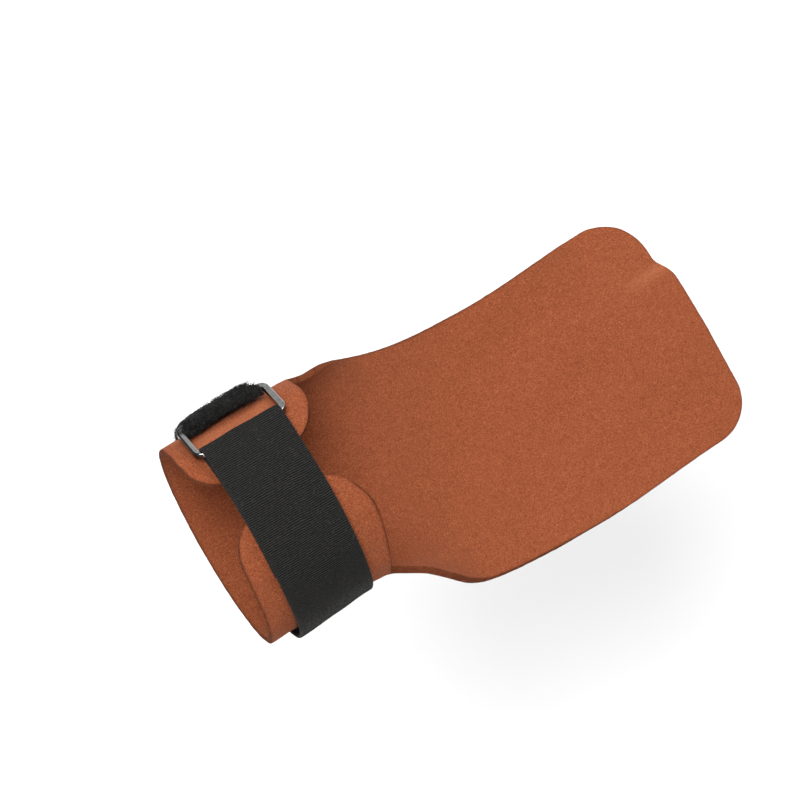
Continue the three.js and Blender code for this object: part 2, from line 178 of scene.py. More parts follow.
MID_A = LOOP_HALF_BREADTH - LEATHER / 2
MID_B = LOOP_HALF_DEPTH - LEATHER / 2
ARC_T = np.linspace(0, math.pi, 2001)
ARC_L = np.concatenate([[0], np.cumsum(np.hypot(np.diff(MID_A * np.sin(ARC_T)), np.diff(-MID_B * np.cos(ARC_T))))])
HALF_ROUND = ARC_L[-1]


def ellipse_bend(v):
    arc = np.abs(v)
    arc = np.where(arc > HALF_ROUND, 2 * HALF_ROUND - arc, arc)
    t = np.interp(arc, ARC_L, ARC_T)
    return MID_A * MID_B / ((MID_A * np.cos(t)) ** 2 + (MID_B * np.sin(t)) ** 2) ** 1.5


def over_leather(a, h):
    """(y, z) and the outward normal at arc a from the dorsal middle, at height h over the leather."""
    a = np.asarray(a, float)
    t, side = np.interp(HALF_ROUND - np.abs(a), ARC_L, ARC_T), np.where(a < 0, -1.0, 1.0)
    n = unit(np.stack([side * MID_B * np.sin(t), -MID_A * np.cos(t)], -1))
    p = np.stack([side * MID_A * np.sin(t), -MID_B * np.cos(t)], -1)
    return p + n * (LEATHER / 2 + np.asarray(h, float))[..., None], n


# ---------------------------------------------------------------- leather: from the flat cut to its worn form


def pipe(u):
    return 1 - smooth((u - OPEN_FROM) / (OPEN_TO - OPEN_FROM))


def pad(name, u):
    return through(PAD_COURSE[:, 0], PAD_COURSE[:, {"pitch": 1, "y": 2, "bend": 3}[name]], np.maximum(u, 0))


COURSE_U = np.arange(-BAND_PROXIMAL - 2, PAD_END + 4, 0.5)
_mid = COURSE_U + 0.25
_pitch = np.where(COURSE_U < 0, 0, np.radians(pad("pitch", _mid)))
COURSE_X = -BAND_PROXIMAL - 2 + np.concatenate([[0], np.cumsum(0.5 * np.cos(_pitch))[:-1]])
COURSE_Z = -MID_B + np.concatenate([[0], np.cumsum(0.5 * np.sin(_pitch))[:-1]])


def leather_at(u, v):
    """The middle of the leather at the flat cut's (u, v)."""
    u, v = np.asarray(u, float), np.asarray(v, float)
    own = np.where(u < 0, 0, pad("bend", u))
    hold, steps = pipe(u), 200
    side, up = np.empty_like(u), np.empty_like(u)
    for part in np.array_split(np.arange(len(u)), max(1, len(u) // 4000)):
        dv = (np.abs(v[part]) / steps)[:, None]
        bend = hold[part, None] * ellipse_bend((np.arange(steps) + 0.5) * dv) + ((1 - hold) * own)[part, None]
        turn = np.cumsum(bend * dv, 1) - bend * dv / 2
        side[part] = (dv * np.cos(turn)).sum(1)
        up[part] = (dv * np.sin(turn)).sum(1)
    side *= np.sign(v)
    crease = LOBE["v0"] + (LOBE["v1"] - LOBE["v0"]) * np.clip((u - LOBE["u0"]) / (LOBE["u1"] - LOBE["u0"]), 0, 1)
    up = up - LOBE["slope"] * softplus(v - crease, LOBE["soft"]) * smooth((u - LOBE["u0"]) / (PAD_END - LOBE["u0"] - 18))
    pitch = np.where(u < 0, 0, np.radians(pad("pitch", u)))
    x, z = np.interp(u, COURSE_U, COURSE_X), np.interp(u, COURSE_U, COURSE_Z)
    y = np.where(u < 0, 0, pad("y", u))
    return np.stack([x - up * np.sin(pitch), y + side, z + up * np.cos(pitch)], -1)


PAD_WAVE = waves(3, 34)
DENT_WAVE = waves(5, 9)
HIDE_WAVE = waves(8, 3.2)


def crease_line(u):
    """Where the crease between the flap and its ulnar lobe runs, as v at u."""
    return through([100, 125, 140, 150, 160], [13.5, 14.9, 15.9, 16.4, 16.7], u)


def leather_relief(u, v):
    """How far the worn leather stands off its even form, along its outside normal."""
    on_pad = smooth((u - 55) / 40)
    on_tab = smooth((np.abs(v) - 34) / 16) * (1 - smooth((u - 22) / 8))
    beside = v - crease_line(u)
    flank = smooth((beside + 2.8) / 5.6) * (1 - smooth((beside - 1.5) / 15)) * smooth((u - 134) / 18)
    return (0.30 * on_pad * PAD_WAVE(u, v) + (0.045 + 0.045 * on_tab) * DENT_WAVE(u, v) + 0.015 * HIDE_WAVE(u, v)
            + 0.75 * flank)


def leather_frame(u, v):
    e = 0.06
    p = leather_at(u, v)
    du = leather_at(u + e, v) - leather_at(u - e, v)
    dv = leather_at(u, v + e) - leather_at(u, v - e)
    n = unit(np.cross(dv, du))
    fu = (leather_relief(u + e, v) - leather_relief(u - e, v)) / (2 * e)
    fv = (leather_relief(u, v + e) - leather_relief(u, v - e)) / (2 * e)
    tu, tv = unit(du), unit(dv)
    p = p + n * leather_relief(u, v)[:, None]
    return p, unit(n - tu * fu[:, None] - tv * fv[:, None])


def band_distal(v):
    cut = BAND_RADIAL_CUT
    back = cut["depth"] * (1 - 0.8 * smooth((-v - cut["start"]) / (cut["end"] - cut["start"])))
    return BAND_DISTAL - np.where(v < 0, back, 0)


def pad_end(v):
    step = NOTCH["depth"] * smooth((v - NOTCH["start"]) / (NOTCH["end"] - NOTCH["start"]))
    radius = np.where(v < 0, CORNER_RADIAL, CORNER_ULNAR)
    into = np.maximum(0, np.abs(v) - (PAD_HALF - radius))
    sweep = END_SWEEP["depth"] * (np.maximum(0, END_SWEEP["start"] - v) / (PAD_HALF + END_SWEEP["start"])) ** 1.6
    return PAD_END - step - sweep - (radius - np.sqrt(np.maximum(0, radius**2 - into**2)))


def outline():
    """The flat cut's edge, counterclockwise in (u, v), at even steps."""
    quarter = np.linspace(0, math.pi / 2, 60)
    start = BAND_DISTAL + NECK_FILLET

    def tab(sign, end):
        f, sides = quarter[1:], []
        beside = np.linspace(end - TAB_DEPTH, PAD_HALF + NECK_FILLET, 40)[1:-1]
        for distal, power in ((True, TAB_POWER), (False, TAB_POWER_CORNER if sign > 0 else TAB_POWER)):
            v = np.concatenate([end - TAB_DEPTH * (1 - np.cos(f) ** (2 / power)), beside])
            share = np.concatenate([np.sin(f) ** (2 / power), np.ones(38)])
            sides.append(np.stack([(band_distal(sign * v) if distal else -BAND_PROXIMAL) * share, sign * v], -1))
        return sides

    def fillet(sign):
        v = PAD_HALF + NECK_FILLET * (1 - np.cos(quarter))
        edge = band_distal(sign * v)
        return np.stack([start + (edge - start) * np.sin(quarter), sign * v], -1)

    f = np.linspace(0, math.pi / 2, 60)
    ulnar = PAD_HALF - CORNER_ULNAR * (1 - np.cos(f))          # round the corner from the side to the end
    radial = -(PAD_HALF - CORNER_RADIAL * (1 - np.cos(f[::-1])))
    middle = np.linspace(PAD_HALF - CORNER_ULNAR, -(PAD_HALF - CORNER_RADIAL), 200)[1:-1]
    across = np.concatenate([ulnar, middle, radial])
    high_u, low_u = tab(1, TAB_ULNAR)
    high_r, low_r = tab(-1, TAB_RADIAL)
    tip = lambda sign, end: np.array([[0.0, sign * end]])
    line = np.concatenate([
        fillet(-1),                                            # neck on the radial side, from pad to band
        high_r[::-1], tip(-1, TAB_RADIAL), low_r,              # radial tab
        low_u[::-1], tip(1, TAB_ULNAR), high_u,                # ulnar tab
        fillet(1)[::-1],
        np.stack([pad_end(across), across], -1),
    ])
    line = line[np.concatenate([[True], np.linalg.norm(np.diff(line, axis=0), axis=1) > 1e-6])]
    shut = np.concatenate([line, line[:1]])
    run = np.concatenate([[0], np.cumsum(np.linalg.norm(np.diff(shut, axis=0), axis=1))])
    count = int(round(run[-1] / (CELL * 0.92)))
    at = np.arange(count) / count * run[-1]
    even = np.stack([np.interp(at, run, shut[:, k]) for k in (0, 1)], -1)
    area = 0.5 * np.sum(even[:, 0] * np.roll(even[:, 1], -1) - np.roll(even[:, 0], -1) * even[:, 1])
    if area < 0:
        even = even[::-1]
    return even, at, abs(area)


def from_edge(points, line):
    """Distance of each point to the closed line, and whether it's inside."""
    a, b = line, np.roll(line, -1, axis=0)
    d = b - a
    best = np.full(len(points), 1e9)
    inside = np.zeros(len(points), bool)
    for part in np.array_split(np.arange(len(points)), max(1, len(points) // 2000)):
        p = points[part][:, None, :]
        t = np.clip(((p - a) * d).sum(-1) / (d * d).sum(-1), 0, 1)
        best[part] = np.linalg.norm(p - (a + t[..., None] * d), axis=-1).min(1)
        rising = (a[:, 1] > p[..., 1]) != (b[:, 1] > p[..., 1])
        with np.errstate(divide="ignore", invalid="ignore"):
            cross = a[:, 0] + (p[..., 1] - a[:, 1]) / (b[:, 1] - a[:, 1]) * d[:, 0]
        inside[part] = (np.sum(rising & (p[..., 0] < cross), 1) % 2) == 1
    return best, inside


# the rounded raw edge: how far in from the cut, how high from the middle, both from the outer to the inner face
RIM = [(0.46, 1.10), (0.30, 1.085), (0.17, 1.02), (0.08, 0.88), (0.03, 0.66), (0.0, 0.36), (0.0, 0.0), (0.0, -0.36),
       (0.03, -0.66), (0.08, -0.88), (0.17, -1.02), (0.30, -1.085), (0.46, -1.10)]


# where round the loop the ring sits
trial = np.linspace(30, HALF_ROUND - 4, 201)
beside_ring = leather_frame(np.zeros(201), trial)[0][:, 1:] - (np.array(NEAR_BAR) + np.array(FAR_BAR)) / 2
SLOT_V = float(trial[np.argmin(np.hypot(beside_ring[:, 0], beside_ring[:, 1]))])


def crease_wear_and_painted_light(u, v):
    """How much the nap is painted lighter, from 0 to 1: along the crease of the flap as wear and a painted highlight,
    and under the ring as painted light where the ring and webbing shade the leather.
    """
    beside = v - crease_line(u)
    # painted light on the leather under the ring, where the ring and webbing shade it
    painted_light_under_ring = smooth((14.5 - np.abs(u - RING_X)) / 2.5) * smooth((4.6 - np.abs(v - SLOT_V)) / 2.0)
    return np.exp(-((beside / 2.0) ** 2)) * smooth((u - 135) / 17) + 0.95 * painted_light_under_ring


def leather_body(suede, edge):
    line, run, area = outline()
    n = len(line)
    ahead, behind = np.roll(line, -2, axis=0), np.roll(line, 2, axis=0)
    t = unit(ahead - behind)
    inward = np.stack([-t[:, 1], t[:, 0]], -1)
    # the triangles of one face, on an even grid inside the cut
    rows = np.arange(line[:, 0].min(), line[:, 0].max(), CELL * math.sqrt(3) / 2)
    grid = np.concatenate([
        np.stack([np.full_like(c, u), c], -1)
        for k, u in enumerate(rows)
        for c in [np.arange(line[:, 1].min() + (k % 2) * CELL / 2, line[:, 1].max(), CELL)]
    ])
    far, inside = from_edge(grid, line)
    grid, far = grid[inside & (far > RIM[0][0] + CELL * 0.52)], far[inside & (far > RIM[0][0] + CELL * 0.52)]
    border = line + inward * RIM[0][0]
    flat = np.concatenate([border, grid])
    made = delaunay_2d_cdt(flat.tolist(), [], [list(range(n))], 1, 1e-7)
    source = [o[0] for o in made[3]]
    faces = np.array([[source[k] for k in f] for f in made[2]], int)
    a, b, c = (flat[faces[:, k]] for k in range(3))
    turned = (b[:, 0] - a[:, 0]) * (c[:, 1] - a[:, 1]) - (b[:, 1] - a[:, 1]) * (c[:, 0] - a[:, 0]) < 0
    faces[turned] = faces[turned][:, ::-1]
    # seen from outside the cut runs the other way round
    outer_faces, inner_faces = faces[:, ::-1], faces
    p, normal = leather_frame(flat[:, 0], flat[:, 1])
    count = len(flat)
    points = [p + normal * LEATHER / 2, p - normal * LEATHER / 2]
    distance = [np.concatenate([np.full(n, RIM[0][0]), far])] * 2
    inner_side = [np.zeros(count), np.ones(count)]
    cut = [flat, flat]
    # the raw edge, with its fibres and layers
    fray = np.random.default_rng(21)
    rings = [np.arange(n)]
    for k, (into, height) in enumerate(RIM[1:-1]):
        rough = 0.5 * (fray.normal(size=n) + np.roll(fray.normal(size=n), 1))
        middle = 1 - (abs(height) / 1.1) ** 3
        uv = line + inward * (into + (0.03 * rough + 0.012 * waves(40, 5.0, 1)(run)) * middle)[:, None]
        q, m = leather_frame(uv[:, 0], uv[:, 1])
        points.append(q + m * (height + 0.03 * fray.normal(size=n) * middle)[:, None])
        rings.append(2 * count + k * n + np.arange(n))
        distance.append(np.zeros(n))
        inner_side.append(np.full(n, 0.5))
        cut.append(uv)
    rings.append(count + np.arange(n))
    quads = []
    for r, s in zip(rings, rings[1:]):
        quads.append(np.stack([r, s, np.roll(s, -1), np.roll(r, -1)], -1)[:, ::-1])
    quads = np.concatenate(quads)
    all_faces = [*(outer_faces + 0).tolist(), *(inner_faces + count).tolist(), *quads.tolist()]
    ring_of = np.repeat(np.arange(len(RIM) - 1), n)
    kind = np.concatenate([np.zeros(len(faces) * 2), (ring_of > 1) & (ring_of < len(RIM) - 3)]).astype(int)
    obj = mesh_object(
        "leather_body_suede", np.concatenate(points), all_faces, [suede, edge], kind,
        values={"from_edge": np.minimum(np.concatenate(distance), 8), "inner_side": np.concatenate(inner_side),
                "crease_wear_and_painted_light": crease_wear_and_painted_light(*np.concatenate(cut).T)},
        flat=np.concatenate(cut) * MM * 10,
    )
    return obj, area


# ---------------------------------------------------------------- webbing courses


def folded_course(first, bar, radius, second, step):
    """Rows along webbing that lies on the leather, goes round a bar and comes back: place, tangent and normal in YZ, x, lift."""
    def on_table(rows):
        count = int(math.floor(abs(rows[-1, 0] - rows[0, 0]) / 3 + 0.5))
        k = np.arange(count + 1) / count * (len(rows) - 1)
        a, off, lift, x = (through(np.arange(len(rows)), rows[:, c], k) for c in range(4))
        p, _ = over_leather(a, off)
        return np.column_stack([x, p, lift])

    one, two, sense = on_table(first), on_table(second), np.sign(first[-1, 0] - first[0, 0])
    places, normals = over_leather(np.arange(-80, 80, 0.05), np.zeros(3200))
    near = np.argmin(np.linalg.norm(places - np.array(bar), axis=1))
    ny, nz = normals[near]
    f = math.pi * np.arange(11) / 10
    n, t = -np.cos(f) * radius, np.sin(f) * radius * sense
    fold = np.column_stack([
        np.linspace(first[-1, 3], second[0, 3], 11), bar[0] + ny * n + nz * t, bar[1] + nz * n - ny * t, np.zeros(11),
    ])
    rough = np.concatenate([one, fold, two])
    pts = rough[:, :3]
    ends = np.concatenate([[2 * pts[0] - pts[1]], pts, [2 * pts[-1] - pts[-2]]])
    dense = []
    w = np.arange(24)[:, None] / 24
    for i in range(len(pts) - 1):
        p0, p1, p2, p3 = ends[i:i + 4]
        d0, d1, d2 = (max(np.linalg.norm(b - a) ** 0.5, 1e-4) for a, b in ((p0, p1), (p1, p2), (p2, p3)))
        t1 = ((p1 - p0) / d0 - (p2 - p0) / (d0 + d1) + (p2 - p1) / d1) * d1
        t2 = ((p2 - p1) / d1 - (p3 - p1) / (d1 + d2) + (p3 - p2) / d2) * d1
        dense.append(p1 + t1 * w + (-3 * p1 + 3 * p2 - 2 * t1 - t2) * w**2 + (2 * p1 - 2 * p2 + t1 + t2) * w**3)
    dense = np.concatenate([*dense, pts[-1:]])
    index = np.arange(len(dense)) / 24
    lift = through(np.arange(len(rough)), rough[:, 3], index)
    run = np.concatenate([[0], np.cumsum(np.linalg.norm(np.diff(dense, axis=0), axis=1))])
    at = np.arange(0, run[-1], step)
    line = np.column_stack([np.interp(at, run, dense[:, k]) for k in range(3)] + [np.interp(at, run, lift)])
    # even out the joints between its stretches, keeping both ends
    reach = int(round(1.2 / step))
    if reach:
        kernel = np.exp(-0.5 * (np.arange(-reach, reach + 1) * step / 0.5) ** 2)
        kernel /= kernel.sum()
        padded = np.concatenate([2 * line[:1] - line[reach:0:-1], line, 2 * line[-1:] - line[-2:-reach - 2:-1]])
        line = np.column_stack([np.convolve(padded[:, k], kernel, "valid") for k in range(4)])
    tangent = unit(np.gradient(line[:, 1:3], axis=0))
    normal = np.stack([-tangent[:, 1], tangent[:, 0]], -1)
    mark = lambda i: float(np.interp(i, index, run))
    return dict(x=line[:, 0], p=line[:, 1:3], t=tangent, n=normal, lift=line[:, 3], s=at, step=step,
                fold=(mark(len(one)), mark(len(one) + 10)), length=float(run[-1]))


def on_course(c, s, across, height):
    """Points at arc s, at across from the middle of the width, and at that height along the normal."""
    pick = lambda a: np.interp(s, c["s"], a)
    x = pick(c["x"]) + across
    y = pick(c["p"][:, 0]) + pick(c["n"][:, 0]) * height
    z = pick(c["p"][:, 1]) + pick(c["n"][:, 1]) * height
    return np.stack([x, y, z], -1)


def course_normal(c, s):
    n = unit(np.stack([np.interp(s, c["s"], c["n"][:, 0]), np.interp(s, c["s"], c["n"][:, 1])], -1))
    return np.concatenate([np.zeros((len(n), 1)), n], 1)


def webbing_mesh(name, c, width, section, faces_out, shift, material, values=None, after=None):
    """Webbing as one closed mesh. section gives each point round it: across in mm, and which way and how much it stands off
    the middle; shift(s, across, side) moves it."""
    across, stand = section
    rows, m = len(c["s"]), len(across)
    s = np.repeat(c["s"], m)
    a, h = np.tile(across, rows), np.tile(stand, rows)
    share = np.clip(a / width + 0.5, 0, 1)
    lift = np.repeat(c["lift"], m) * (1 - smooth(share)) * faces_out
    da, dh, out = shift(s, a, h)
    points = on_course(c, s, a + da, lift + dh)
    if after:
        points = after(s, a + da, points)
    index = np.arange(rows * m).reshape(rows, m)
    here, there = index[:-1], index[1:]
    quads = np.stack([here, there, np.roll(there, -1, 1), np.roll(here, -1, 1)], -1).reshape(-1, 4)
    faces = quads.tolist()
    # both ends are closed by a strip of faces across the thickness
    half = m // 2
    for row, back in ((index[0], False), (index[-1], True)):
        for k in range(half - 1):
            quad = [row[k], row[k + 1], row[m - 2 - k], row[m - 1 - k]]
            quad = list(dict.fromkeys(quad))
            if len(quad) > 2:
                faces.append(quad[::-1] if back else quad)
    volume = points[quads]
    a0, b0, c0, d0 = (volume[:, k] for k in range(4))
    signed = (np.einsum("ij,ij->i", a0, np.cross(b0, c0)) + np.einsum("ij,ij->i", a0, np.cross(c0, d0))).sum()
    if signed < 0:
        faces = [f[::-1] for f in faces]
    return mesh_object(name, points, faces, [material], values={k: v(s, a, h) for k, v in (values or {}).items()},
                       flat=np.stack([s, a], -1) * MM * 10)


def flat_section(width, half, columns, edge_steps):
    """The way round a strap's section: across its outer side, round an edge, back across, round the other edge."""
    inner = width / 2 - half
    top = np.linspace(-inner, inner, columns)
    f = np.linspace(math.pi / 2, -math.pi / 2, edge_steps + 2)[1:-1]
    across = np.concatenate([top, inner + half * np.cos(f), top[::-1], -inner - half * np.cos(f[::-1])])
    stand = np.concatenate([np.ones(columns), np.sin(f), -np.ones(columns), np.sin(f[::-1])])
    # start it half way round the first edge, so that the two halves face each other
    k = edge_steps // 2
    return np.roll(across, k), np.roll(stand, k)


def tubes(paths, radius, sides, ref):
    """Closed thin tubes along many paths of the same number of points."""
    count, steps, _ = paths.shape
    t = unit(np.gradient(paths, axis=1))
    one = unit(np.cross(t, ref[:, None, :]))
    two = np.cross(t, one)
    f = 2 * math.pi * np.arange(sides) / sides
    r = np.broadcast_to(radius, (count, steps))[..., None, None]
    ring = paths[:, :, None, :] + r * (np.cos(f)[:, None] * one[:, :, None, :] + np.sin(f)[:, None] * two[:, :, None, :])
    index = np.arange(count * steps * sides).reshape(count, steps, sides)
    here, there = index[:, :-1], index[:, 1:]
    quads = np.stack([here, np.roll(here, -1, 2), np.roll(there, -1, 2), there], -1).reshape(-1, 4)
    caps = np.concatenate([index[:, 0, ::-1], index[:, -1, :]])
    return ring.reshape(-1, 3), [*quads.tolist(), *caps.tolist()]


# ---------------------------------------------------------------- materials


class Surface:
    """A material's nodes, each made in one line."""

    def __init__(self, name):
        self.material = bpy.data.materials.new(name)
        self.material.use_nodes = True
        self.tree = self.material.node_tree
        self.tree.nodes.clear()
        self.out = self.tree.nodes.new("ShaderNodeOutputMaterial")
        self.shader = self.tree.nodes.new("ShaderNodeBsdfPrincipled")
        self.tree.links.new(self.shader.outputs[0], self.out.inputs["Surface"])
        self.place = self.tree.nodes.new("ShaderNodeTexCoord").outputs["Object"]
        self.flat = None

    def node(self, kind, settings=None, **inputs):
        n = self.tree.nodes.new("ShaderNode" + kind)
        for key, value in (settings or {}).items():
            setattr(n, key, value)
        for key, value in inputs.items():
            self.set(n.inputs[int(key[1:]) if key[0] == "i" and key[1:].isdigit() else key.replace("_", " ")], value)
        return n

    def set(self, socket, value):
        if isinstance(value, bpy.types.NodeSocket):
            self.tree.links.new(value, socket)
        elif isinstance(value, tuple) and len(value) == 3 and socket.type == "RGBA":
            socket.default_value = (*value, 1)
        else:
            socket.default_value = value

    def noise(self, scale, detail=2.0, roughness=0.5, distortion=0.0, at=None):
        return self.node("TexNoise", Vector=self.place if at is None else at, Scale=scale, Detail=detail,
                         Roughness=roughness, Distortion=distortion).outputs[0]

    def math(self, what, a, b=0.0, c=None):
        extra = {} if c is None else {"i2": c}
        return self.node("Math", {"operation": what}, i0=a, i1=b, **extra).outputs[0]

    def span(self, value, low, high, to_low=0.0, to_high=1.0, clamp=True):
        return self.node("MapRange", {"clamp": clamp}, Value=value, From_Min=low, From_Max=high, To_Min=to_low,
                         To_Max=to_high).outputs[0]

    def mix(self, share, a, b, how="MIX"):
        return self.node("Mix", {"data_type": "RGBA", "blend_type": how}, i0=share, i6=a, i7=b).outputs[2]

    def value(self, name):
        return self.node("Attribute", {"attribute_name": name}).outputs["Fac"]

    def uv(self):
        if self.flat is None:
            self.flat = self.node("UVMap", {"uv_map": "flat"}).outputs[0]
        return self.flat

    def stretched(self, vector, scale):
        return self.node("VectorMath", {"operation": "MULTIPLY"}, i0=vector, i1=scale).outputs[0]

    def bump(self, height, distance, strength=1.0, under=None):
        extra = {} if under is None else {"Normal": under}
        return self.node("Bump", Strength=strength, Distance=distance, Height=height, **extra).outputs[0]

    def finish(self, **inputs):
        for key, value in inputs.items():
            self.set(self.shader.inputs[key.replace("_", " ")], value)
        return self.material


def suede_material():
    s = Surface("suede")
    grain = s.noise(1850, 3, 0.62)
    speck = s.noise(2800, 2, 0.6)
    fine = s.noise(4200, 2, 0.6)
    nap = s.noise(310, 2, 0.5, 0.5)
    drift = s.noise(42, 2, 0.5)
    edge = s.span(s.value("from_edge"), 0.10, 0.95, 1, 0)
    tone = s.mix(s.span(nap, 0.30, 0.70), (0.2058, 0.0518, 0.0194), (0.2318, 0.0608, 0.0235))
    tone = s.mix(s.span(drift, 0.35, 0.65, 0, 0.35), tone, (0.2455, 0.0660, 0.0258))
    tone = s.mix(s.span(grain, 0.46, 0.58, 0.0, 0.58), tone, (0.1311, 0.0277, 0.0096))
    tone = s.mix(s.span(speck, 0.51, 0.62, 0.0, 0.70), tone, (0.3469, 0.1111, 0.0485))
    tone = s.mix(s.span(fine, 0.52, 0.64, 0.0, 0.60), tone, (0.1220, 0.0256, 0.0088))
    tone = s.mix(s.math("MULTIPLY", edge, s.span(grain, 0.35, 0.65, 0.20, 0.60)), tone, (0.1144, 0.0256, 0.0096))
    # painted light: lighter along the flap's crease (wear and a painted highlight) and under the ring (painted light)
    tone = s.mix(s.math("MULTIPLY", s.value("crease_wear_and_painted_light"), s.span(grain, 0.3, 0.7, 0.62, 0.25)), tone, (0.3354, 0.1111, 0.0507))
    height = s.math("ADD", s.math("MULTIPLY", grain, 0.5), s.math("MULTIPLY", speck, 0.5))
    normal = s.bump(height, 0.00048, 0.9, s.bump(nap, 0.0004, 0.25))
    rough = s.span(grain, 0.3, 0.7, 0.84, 0.97)
    return s.finish(Base_Color=tone, Roughness=rough, Normal=normal, Specular_IOR_Level=0.10, Sheen_Weight=0.07,
                    Sheen_Roughness=0.42, Sheen_Tint=(1.0, 0.60, 0.40))


def edge_material():
    s = Surface("suede_cut_edge")
    # fibres of the flesh layer show in the cut
    fibre = s.noise(1, 3, 0.65, 0.3, s.stretched(s.place, (2600, 2600, 2600)))
    coarse = s.noise(520, 3, 0.6)
    tone = s.mix(s.span(fibre, 0.35, 0.68), (0.0884, 0.0225, 0.0090), (0.2080, 0.0593, 0.0241))
    tone = s.mix(s.span(coarse, 0.42, 0.66, 0, 0.5), tone, (0.0729, 0.0184, 0.0080))
    normal = s.bump(fibre, 0.00045, 0.9, s.bump(coarse, 0.0007, 0.5))
    return s.finish(Base_Color=tone, Roughness=0.95, Normal=normal, Specular_IOR_Level=0.06, Sheen_Weight=0.0,
                    Sheen_Roughness=0.5, Sheen_Tint=(1.0, 0.72, 0.56))


def ribbed_material():
    s = Surface("ribbed_webbing")
    rib = s.value("rib")
    # stitches along each rib, half a step on from the next rib's
    split = s.node("SeparateXYZ", Vector=s.uv())
    along, across = split.outputs[0], split.outputs[1]
    phase = s.math("MULTIPLY", along, 100 / RIB_PITCH * math.pi)
    run = s.math("ADD", s.math("MULTIPLY", across, 2 * math.pi * 100 / 0.92), phase)
    knot = s.span(s.math("SINE", run), -1, 1)
    fine = s.noise(4200, 2, 0.6)
    mottle = s.noise(1500, 3, 0.65)
    lint = s.noise(2100, 1, 0.5, 1.4)
    fade = s.value("fade")
    loose = s.span(fade, 0, 1, 0.12, 0.50)
    # painted shade: the grooves between the ribs are painted near black and the crests lighter
    tone = s.mix(s.span(rib, 0.34, 0.90), (0.0014, 0.0014, 0.0014), (0.0234, 0.0228, 0.0216))
    tone = s.mix(s.math("MULTIPLY", knot, loose), tone, (0.0040, 0.0039, 0.0038))
    tone = s.mix(s.math("MULTIPLY", s.span(mottle, 0.42, 0.64), s.span(fade, 0, 1, 0.34, 0.55)), tone, (0.0045, 0.0044, 0.0042))
    # painted sheen: lighter where the strap turns away round the radial side
    tone = s.mix(s.math("MULTIPLY", s.value("turn"), s.span(mottle, 0.40, 0.60, 0.10, 0.75)), tone, (0.060, 0.059, 0.055))
    salt = s.math("MULTIPLY", s.span(s.noise(1850, 1, 0.5), 0.52, 0.62), s.span(fade, 0, 1, 0.08, 0.36))
    tone = s.mix(salt, tone, (0.058, 0.057, 0.053))
    tone = s.mix(s.span(lint, 0.62, 0.74, 0, 0.45), tone, (0.056, 0.054, 0.051))
    tone = s.mix(s.math("MULTIPLY", s.value("selvage"), 0.15), tone, (0.040, 0.039, 0.038))
    height = s.math("ADD", s.math("MULTIPLY", s.math("MULTIPLY", knot, loose), 0.9), s.math("MULTIPLY", fine, 0.55))
    normal = s.bump(height, 0.00026, 0.9, s.bump(mottle, 0.0003, 0.5))
    return s.finish(Base_Color=tone, Roughness=0.80, Normal=normal, Specular_IOR_Level=0.09, Sheen_Weight=0.02,
                    Sheen_Roughness=0.45, Sheen_Tint=(0.95, 0.93, 0.90))


def pile_material(name, dark, light):
    s = Surface(name)
    tone = s.value("tone")
    clump = s.noise(620, 2, 0.6)
    colour = s.mix(tone, dark, light)
    colour = s.mix(s.span(clump, 0.42, 0.60, 0, 0.75), colour, dark)
    normal = s.bump(s.noise(5200, 2, 0.6), 0.0001, 0.5)
    return s.finish(Base_Color=colour, Roughness=0.66, Normal=normal, Specular_IOR_Level=0.18, Sheen_Weight=0.02,
                    Sheen_Roughness=0.5, Sheen_Tint=(0.9, 0.92, 0.95))


def gunmetal_material():
    s = Surface("gunmetal")
    brushed = s.noise(1, 3, 0.6, 0.0, s.stretched(s.place, (900, 5200, 5200)))
    cloud = s.noise(420, 3, 0.6)
    wear, face = s.value("wear"), s.value("face")
    tone = s.mix(s.span(cloud, 0.35, 0.7), (0.105, 0.106, 0.103), (0.150, 0.151, 0.146))
    # painted reflection: the top faces are painted far lighter than the sides, standing in for the overhead light they
    # reflect
    tone = s.mix(face, tone, s.mix(s.span(cloud, 0.35, 0.7), (0.530, 0.534, 0.517), (0.610, 0.614, 0.595)))
    tone = s.mix(s.math("MULTIPLY", wear, s.span(s.noise(260, 2, 0.6), 0.40, 0.62, 0.2, 0.7)), tone, (0.560, 0.560, 0.545))
    # painted dark reflection: near black along the outer edge of the proximal bar
    tone = s.mix(s.math("MULTIPLY", s.value("dark"), 0.94), tone, (0.022, 0.022, 0.022))
    rough = s.math("ADD", s.span(cloud, 0.3, 0.7, 0.14, 0.20), s.math("MULTIPLY", s.span(brushed, 0.45, 0.65), 0.05))
    normal = s.bump(brushed, 0.00002, 0.25)
    return s.finish(Base_Color=tone, Metallic=1.0, Roughness=rough, Normal=normal)


def thread_material():
    s = Surface("black_thread")
    split = s.node("SeparateXYZ", Vector=s.place)
    twist = s.math("SINE", s.math("MULTIPLY", s.math("ADD", split.outputs[0], s.math("ADD", split.outputs[1], split.outputs[2])), 16000))
    fuzz = s.noise(5200, 2, 0.6)
    tone = s.mix(s.span(twist, -1, 1), (0.014, 0.0138, 0.0135), (0.046, 0.045, 0.044))
    return s.finish(Base_Color=s.mix(s.span(fuzz, 0.4, 0.7, 0, 0.4), tone, (0.065, 0.064, 0.062)), Roughness=0.55,
                    Normal=s.bump(twist, 0.00008, 0.8), Specular_IOR_Level=0.4)


# ---------------------------------------------------------------- the pieces

suede, cut_edge = suede_material(), edge_material()
ribbed, gunmetal, thread = ribbed_material(), gunmetal_material(), thread_material()
pile_base = pile_material("pile_ground", (0.0060, 0.0058, 0.0056), (0.0110, 0.0107, 0.0103))
pile_loops = pile_material("loop_pile", (0.0050, 0.0048, 0.0046), (0.0620, 0.0605, 0.0580))

body, cut_area = leather_body(suede, cut_edge)
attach(body, "root")
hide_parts("leather_body")

